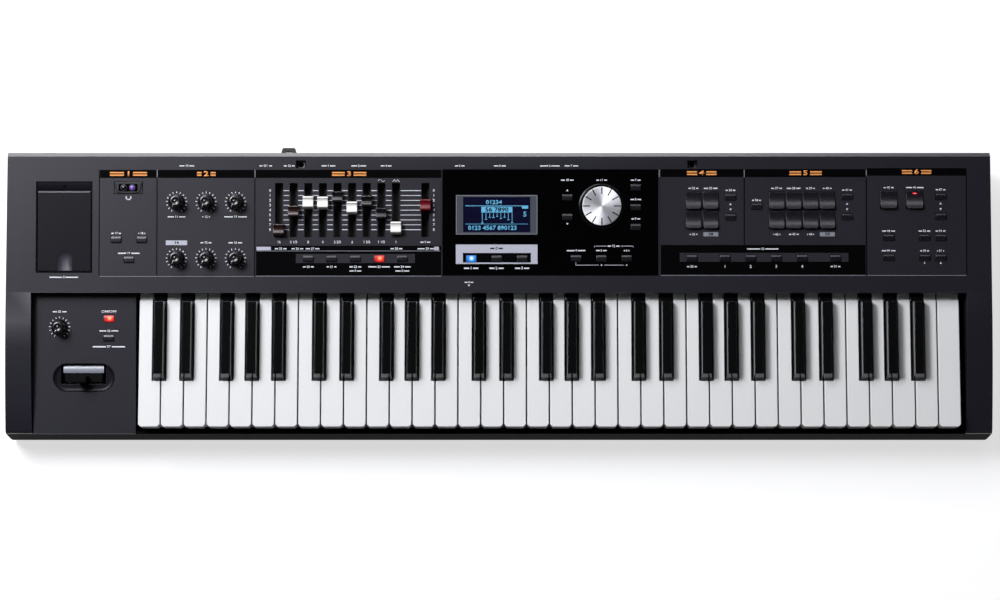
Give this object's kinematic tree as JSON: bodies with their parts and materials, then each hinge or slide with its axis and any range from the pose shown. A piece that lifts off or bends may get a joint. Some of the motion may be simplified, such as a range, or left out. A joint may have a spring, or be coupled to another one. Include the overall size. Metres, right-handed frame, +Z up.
{
  "type": "combo organ",
  "caption": "Combo organ: sloped control panel with drawbars, knobs, dial, display and button rows over a full row of piano-size keys, and a bender lever block at the left.",
  "frame": {"origin": "on the surface it stands on, under the middle of its outer box", "axes": "+X along the keys to the player's right, -Y towards the player, +Z up"},
  "size_m": [1.008, 0.296, 0.106],
  "materials": {
    "shell": "fine textured charcoal moulding",
    "base_black": "black moulding",
    "gloss_black": "polished black sheet",
    "key_white": "smooth white moulding",
    "key_black": "smooth black moulding",
    "steel": "plated sheet",
    "circuit_board": "green lacquered laminate",
    "display_frame": "grey moulding",
    "button_grey": "dark grey moulding",
    "button_black": "black moulding",
    "knob_black": "satin black moulding",
    "foot_rubber": "black rubber",
    "aluminium": "turned and brushed",
    "bender_silver": "silver painted moulding",
    "cap_white": "white moulding",
    "cap_brown": "dark brown moulding",
    "cap_black": "black moulding",
    "cap_red": "dark red moulding",
    "sensor_lens": "dark tinted lens"
  },
  "bodies": {
    "casework": {"lower_case": "base_black", "top_case": "shell", "controller_block": "shell", "keybed_chassis": "steel", "contact_board": "circuit_board", "main_board": "circuit_board", "panel_board": "circuit_board", "centre_panel": "gloss_black", "display_module": "display_frame", "beam_window": "sensor_lens", "cord_hook": "steel", "foot_front_left": "foot_rubber", "foot_front_right": "foot_rubber", "foot_rear_left": "foot_rubber", "foot_rear_right": "foot_rubber"},
    "keys_c_e_g_b_1": {"keys_c_e_g_b_1": "key_white"},
    "keys_d_f_a_1": {"keys_d_f_a_1": "key_white"},
    "keys_sharps_1": {"keys_sharps_1": "key_black"},
    "keys_c_e_g_b_2": {"keys_c_e_g_b_2": "key_white"},
    "keys_d_f_a_2": {"keys_d_f_a_2": "key_white"},
    "keys_sharps_2": {"keys_sharps_2": "key_black"},
    "keys_c_e_g_b_3": {"keys_c_e_g_b_3": "key_white"},
    "keys_d_f_a_3": {"keys_d_f_a_3": "key_white"},
    "keys_sharps_3": {"keys_sharps_3": "key_black"},
    "keys_c_e_g_b_4": {"keys_c_e_g_b_4": "key_white"},
    "keys_d_f_a_4": {"keys_d_f_a_4": "key_white"},
    "keys_sharps_4": {"keys_sharps_4": "key_black"},
    "keys_c_e_g_b_5": {"keys_c_e_g_b_5": "key_white"},
    "keys_d_f_a_5": {"keys_d_f_a_5": "key_white"},
    "keys_sharps_5": {"keys_sharps_5": "key_black"},
    "key_top_c": {"key_top_c": "key_white"},
    "power_button": {"power_button": "button_black"},
    "memory_cover": {"memory_cover": "shell"},
    "bender_frame": {"bender_frame": "button_black"},
    "bender_lever": {"bender_lever": "bender_silver"},
    "drawbar_1": {"drawbar_1": "cap_brown"},
    "drawbar_2": {"drawbar_2": "cap_brown"},
    "drawbar_3": {"drawbar_3": "cap_white"},
    "drawbar_4": {"drawbar_4": "cap_white"},
    "drawbar_5": {"drawbar_5": "cap_black"},
    "drawbar_6": {"drawbar_6": "cap_white"},
    "drawbar_7": {"drawbar_7": "cap_black"},
    "drawbar_8": {"drawbar_8": "cap_black"},
    "drawbar_9": {"drawbar_9": "cap_white"},
    "level_slider": {"level_slider": "cap_red"},
    "drive_knob": {"drive_knob": "knob_black"},
    "tone_knob": {"tone_knob": "knob_black"},
    "compressor_knob": {"compressor_knob": "knob_black"},
    "modulation_knob": {"modulation_knob": "knob_black"},
    "delay_knob": {"delay_knob": "knob_black"},
    "reverb_knob": {"reverb_knob": "knob_black"},
    "volume_knob": {"volume_knob": "knob_black"},
    "value_dial": {"value_dial": "aluminium"},
    "beam_buttons": {"beam_buttons": "button_grey"},
    "organ_buttons": {"organ_buttons": "button_grey"},
    "centre_buttons": {"centre_buttons": "button_grey"},
    "registration_buttons": {"registration_buttons": "button_grey"},
    "tone_buttons": {"tone_buttons": "button_grey"},
    "drum_buttons": {"drum_buttons": "button_grey"},
    "rotary_buttons": {"rotary_buttons": "button_grey"}
  },
  "joints": [
    {"name": "keys_c_e_g_b_1_hinge", "type": "hinge", "parent": "casework", "child": "keys_c_e_g_b_1", "pos_m": [0, 0.022, 0.0532], "axis": [1, 0, 0], "range_deg": [0, 3.5], "stiffness_Nm_per_rad": 4.364, "springref_deg": -6.3},
    {"name": "keys_d_f_a_1_hinge", "type": "hinge", "parent": "casework", "child": "keys_d_f_a_1", "pos_m": [0, 0.022, 0.0532], "axis": [1, 0, 0], "range_deg": [0, 3.5], "stiffness_Nm_per_rad": 3.273, "springref_deg": -6.3},
    {"name": "keys_sharps_1_hinge", "type": "hinge", "parent": "casework", "child": "keys_sharps_1", "pos_m": [0, 0.022, 0.0532], "axis": [1, 0, 0], "range_deg": [0, 3.5], "stiffness_Nm_per_rad": 5.455, "springref_deg": -6.3},
    {"name": "keys_c_e_g_b_2_hinge", "type": "hinge", "parent": "casework", "child": "keys_c_e_g_b_2", "pos_m": [0, 0.022, 0.0532], "axis": [1, 0, 0], "range_deg": [0, 3.5], "stiffness_Nm_per_rad": 4.364, "springref_deg": -6.3},
    {"name": "keys_d_f_a_2_hinge", "type": "hinge", "parent": "casework", "child": "keys_d_f_a_2", "pos_m": [0, 0.022, 0.0532], "axis": [1, 0, 0], "range_deg": [0, 3.5], "stiffness_Nm_per_rad": 3.273, "springref_deg": -6.3},
    {"name": "keys_sharps_2_hinge", "type": "hinge", "parent": "casework", "child": "keys_sharps_2", "pos_m": [0, 0.022, 0.0532], "axis": [1, 0, 0], "range_deg": [0, 3.5], "stiffness_Nm_per_rad": 5.455, "springref_deg": -6.3},
    {"name": "keys_c_e_g_b_3_hinge", "type": "hinge", "parent": "casework", "child": "keys_c_e_g_b_3", "pos_m": [0, 0.022, 0.0532], "axis": [1, 0, 0], "range_deg": [0, 3.5], "stiffness_Nm_per_rad": 4.364, "springref_deg": -6.3},
    {"name": "keys_d_f_a_3_hinge", "type": "hinge", "parent": "casework", "child": "keys_d_f_a_3", "pos_m": [0, 0.022, 0.0532], "axis": [1, 0, 0], "range_deg": [0, 3.5], "stiffness_Nm_per_rad": 3.273, "springref_deg": -6.3},
    {"name": "keys_sharps_3_hinge", "type": "hinge", "parent": "casework", "child": "keys_sharps_3", "pos_m": [0, 0.022, 0.0532], "axis": [1, 0, 0], "range_deg": [0, 3.5], "stiffness_Nm_per_rad": 5.455, "springref_deg": -6.3},
    {"name": "keys_c_e_g_b_4_hinge", "type": "hinge", "parent": "casework", "child": "keys_c_e_g_b_4", "pos_m": [0, 0.022, 0.0532], "axis": [1, 0, 0], "range_deg": [0, 3.5], "stiffness_Nm_per_rad": 4.364, "springref_deg": -6.3},
    {"name": "keys_d_f_a_4_hinge", "type": "hinge", "parent": "casework", "child": "keys_d_f_a_4", "pos_m": [0, 0.022, 0.0532], "axis": [1, 0, 0], "range_deg": [0, 3.5], "stiffness_Nm_per_rad": 3.273, "springref_deg": -6.3},
    {"name": "keys_sharps_4_hinge", "type": "hinge", "parent": "casework", "child": "keys_sharps_4", "pos_m": [0, 0.022, 0.0532], "axis": [1, 0, 0], "range_deg": [0, 3.5], "stiffness_Nm_per_rad": 5.455, "springref_deg": -6.3},
    {"name": "keys_c_e_g_b_5_hinge", "type": "hinge", "parent": "casework", "child": "keys_c_e_g_b_5", "pos_m": [0, 0.022, 0.0532], "axis": [1, 0, 0], "range_deg": [0, 3.5], "stiffness_Nm_per_rad": 4.364, "springref_deg": -6.3},
    {"name": "keys_d_f_a_5_hinge", "type": "hinge", "parent": "casework", "child": "keys_d_f_a_5", "pos_m": [0, 0.022, 0.0532], "axis": [1, 0, 0], "range_deg": [0, 3.5], "stiffness_Nm_per_rad": 3.273, "springref_deg": -6.3},
    {"name": "keys_sharps_5_hinge", "type": "hinge", "parent": "casework", "child": "keys_sharps_5", "pos_m": [0, 0.022, 0.0532], "axis": [1, 0, 0], "range_deg": [0, 3.5], "stiffness_Nm_per_rad": 5.455, "springref_deg": -6.3},
    {"name": "key_top_c_hinge", "type": "hinge", "parent": "casework", "child": "key_top_c", "pos_m": [0, 0.022, 0.0532], "axis": [1, 0, 0], "range_deg": [0, 3.5], "stiffness_Nm_per_rad": 1.091, "springref_deg": -6.3},
    {"name": "power_button_press", "type": "slide", "parent": "casework", "child": "power_button", "axis": [0, -1, 0], "range_m": [0, 0.0015], "stiffness_N_per_m": 400, "springref_m": -0.003},
    {"name": "memory_cover_hinge", "type": "hinge", "parent": "casework", "child": "memory_cover", "pos_m": [-0.4435, 0.09921, 0.08862], "axis": [-1, 0, 0], "range_deg": [0, 95]},
    {"name": "bender_sideways", "type": "hinge", "parent": "casework", "child": "bender_frame", "pos_m": [-0.425, -0.05943, 0.04219], "axis": [0, -0.1197, 0.9928], "range_deg": [-20, 20], "stiffness_Nm_per_rad": 0.25},
    {"name": "bender_push", "type": "hinge", "parent": "bender_frame", "child": "bender_lever", "pos_m": [-0.425, -0.086, 0.03697], "axis": [-1, 0, 0], "range_deg": [0, 12], "stiffness_Nm_per_rad": 0.35, "springref_deg": -8.59},
    {"name": "drawbar_1_pull", "type": "slide", "parent": "casework", "child": "drawbar_1", "axis": [0, -0.9949, -0.1006], "range_m": [-0.04, 0]},
    {"name": "drawbar_2_pull", "type": "slide", "parent": "casework", "child": "drawbar_2", "axis": [0, -0.9949, -0.1006], "range_m": [-0.0215, 0.0185]},
    {"name": "drawbar_3_pull", "type": "slide", "parent": "casework", "child": "drawbar_3", "axis": [0, -0.9949, -0.1006], "range_m": [-0.012, 0.028]},
    {"name": "drawbar_4_pull", "type": "slide", "parent": "casework", "child": "drawbar_4", "axis": [0, -0.9949, -0.1006], "range_m": [-0.0125, 0.0275]},
    {"name": "drawbar_5_pull", "type": "slide", "parent": "casework", "child": "drawbar_5", "axis": [0, -0.9949, -0.1006], "range_m": [-0.0065, 0.0335]},
    {"name": "drawbar_6_pull", "type": "slide", "parent": "casework", "child": "drawbar_6", "axis": [0, -0.9949, -0.1006], "range_m": [-0.0175, 0.0225]},
    {"name": "drawbar_7_pull", "type": "slide", "parent": "casework", "child": "drawbar_7", "axis": [0, -0.9949, -0.1006], "range_m": [-0.011, 0.029]},
    {"name": "drawbar_8_pull", "type": "slide", "parent": "casework", "child": "drawbar_8", "axis": [0, -0.9949, -0.1006], "range_m": [-0.0235, 0.0165]},
    {"name": "drawbar_9_pull", "type": "slide", "parent": "casework", "child": "drawbar_9", "axis": [0, -0.9949, -0.1006], "range_m": [-0.038, 0.002]},
    {"name": "level_slider_pull", "type": "slide", "parent": "casework", "child": "level_slider", "axis": [0, -0.9949, -0.1006], "range_m": [-0.015, 0.025]},
    {"name": "drive_knob_turn", "type": "hinge", "parent": "casework", "child": "drive_knob", "pos_m": [-0.3288, 0.08803, 0.0893], "axis": [0, 0.1006, -0.9949], "range_deg": [0, 300]},
    {"name": "tone_knob_turn", "type": "hinge", "parent": "casework", "child": "tone_knob", "pos_m": [-0.2987, 0.08803, 0.0893], "axis": [0, 0.1006, -0.9949], "range_deg": [0, 300]},
    {"name": "compressor_knob_turn", "type": "hinge", "parent": "casework", "child": "compressor_knob", "pos_m": [-0.2687, 0.08803, 0.0893], "axis": [0, 0.1006, -0.9949], "range_deg": [0, 300]},
    {"name": "modulation_knob_turn", "type": "hinge", "parent": "casework", "child": "modulation_knob", "pos_m": [-0.3288, 0.03062, 0.0835], "axis": [0, 0.1006, -0.9949], "range_deg": [0, 300]},
    {"name": "delay_knob_turn", "type": "hinge", "parent": "casework", "child": "delay_knob", "pos_m": [-0.2987, 0.03062, 0.0835], "axis": [0, 0.1006, -0.9949], "range_deg": [0, 300]},
    {"name": "reverb_knob_turn", "type": "hinge", "parent": "casework", "child": "reverb_knob", "pos_m": [-0.2687, 0.03062, 0.0835], "axis": [0, 0.1006, -0.9949], "range_deg": [0, 300]},
    {"name": "volume_knob_turn", "type": "hinge", "parent": "casework", "child": "volume_knob", "pos_m": [-0.4494, -0.03736, 0.06298], "axis": [0, 0.1197, -0.9928], "range_deg": [0, 300]},
    {"name": "value_dial_turn", "type": "hinge", "parent": "casework", "child": "value_dial", "pos_m": [0.1048, 0.08355, 0.08885], "axis": [0, -0.1006, 0.9949], "continuous": true},
    {"name": "beam_buttons_press", "type": "slide", "parent": "casework", "child": "beam_buttons", "axis": [0, 0.1006, -0.9949], "range_m": [0, 0.0008], "stiffness_N_per_m": 1200, "springref_m": -0.002},
    {"name": "organ_buttons_press", "type": "slide", "parent": "casework", "child": "organ_buttons", "axis": [0, 0.1006, -0.9949], "range_m": [0, 0.0008], "stiffness_N_per_m": 1200, "springref_m": -0.002},
    {"name": "centre_buttons_press", "type": "slide", "parent": "casework", "child": "centre_buttons", "axis": [0, 0.1006, -0.9949], "range_m": [0, 0.0008], "stiffness_N_per_m": 1200, "springref_m": -0.002},
    {"name": "registration_buttons_press", "type": "slide", "parent": "casework", "child": "registration_buttons", "axis": [0, 0.1006, -0.9949], "range_m": [0, 0.0008], "stiffness_N_per_m": 1200, "springref_m": -0.002},
    {"name": "tone_buttons_press", "type": "slide", "parent": "casework", "child": "tone_buttons", "axis": [0, 0.1006, -0.9949], "range_m": [0, 0.0008], "stiffness_N_per_m": 1200, "springref_m": -0.002},
    {"name": "drum_buttons_press", "type": "slide", "parent": "casework", "child": "drum_buttons", "axis": [0, 0.1006, -0.9949], "range_m": [0, 0.0008], "stiffness_N_per_m": 1200, "springref_m": -0.002},
    {"name": "rotary_buttons_press", "type": "slide", "parent": "casework", "child": "rotary_buttons", "axis": [0, 0.1197, -0.9928], "range_m": [0, 0.0008], "stiffness_N_per_m": 1200, "springref_m": -0.002}
  ]
}
